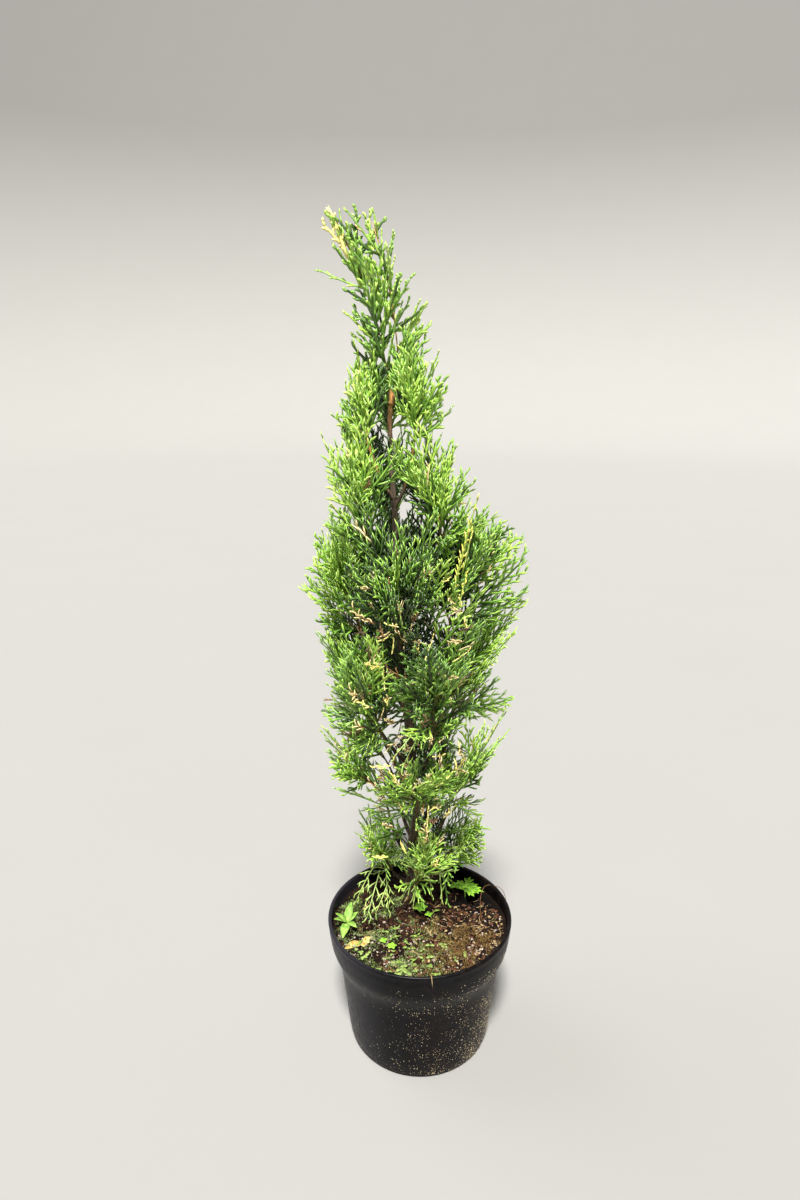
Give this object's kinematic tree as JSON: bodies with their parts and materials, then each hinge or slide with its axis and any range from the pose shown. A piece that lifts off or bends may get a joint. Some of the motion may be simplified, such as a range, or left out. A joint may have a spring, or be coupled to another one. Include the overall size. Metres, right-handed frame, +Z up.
{
  "type": "potted thuja",
  "caption": "Young upright thuja with flat green sprays on steep boughs round a leaning trunk, standing in a round flared plastic pot of peat",
  "frame": {"origin": "centre of the pot's flat underside, where the plant stands", "axes": "+Z up along the trunk; the picture looks along +Y, with +X to its right"},
  "size_m": [0.1895, 0.1838, 0.7397],
  "materials": {
    "pot_plastic": "black polypropylene, satin, with a dusting of sand and dried soil",
    "peat": "dark peat with bark crumbs, moss and fallen needles",
    "bark": "thin grey-brown stringy bark, orange-brown on the young wood",
    "foliage": "flat scale-leaved sprays, mid green with yellow-green tips"
  },
  "bodies": {
    "root": {"pot": "pot_plastic", "soil": "peat", "trunk": "bark", "bough_high_1": "bark", "bough_high_2": "bark", "bough_high_3": "bark", "bough_low_1": "bark", "bough_low_2": "bark", "bough_low_3": "bark", "bough_low_4": "bark", "bough_lower_1": "bark", "bough_lower_2": "bark", "bough_lower_3": "bark", "bough_lower_4": "bark", "bough_lower_5": "bark", "bough_middle_1": "bark", "bough_middle_2": "bark", "bough_middle_3": "bark", "bough_middle_4": "bark", "bough_middle_5": "bark", "bough_second_leader": "bark", "bough_top_1": "bark", "bough_top_2": "bark", "bough_top_3": "bark", "bough_upper_1": "bark", "bough_upper_2": "bark", "bough_upper_3": "bark", "bough_upper_4": "bark", "foliage_high_1": "foliage", "foliage_high_2": "foliage", "foliage_high_3": "foliage", "foliage_leader_left": "foliage", "foliage_leader_right": "foliage", "foliage_low_1": "foliage", "foliage_low_2": "foliage", "foliage_low_3": "foliage", "foliage_low_4": "foliage", "foliage_lower_1": "foliage", "foliage_lower_2": "foliage", "foliage_lower_3": "foliage", "foliage_lower_4": "foliage", "foliage_lower_5": "foliage", "foliage_middle_1": "foliage", "foliage_middle_2": "foliage", "foliage_middle_3": "foliage", "foliage_middle_4": "foliage", "foliage_middle_5": "foliage", "foliage_top_1": "foliage", "foliage_top_2": "foliage", "foliage_top_3": "foliage", "foliage_upper_1": "foliage", "foliage_upper_2": "foliage", "foliage_upper_3": "foliage", "foliage_upper_4": "foliage"}
  },
  "joints": []
}
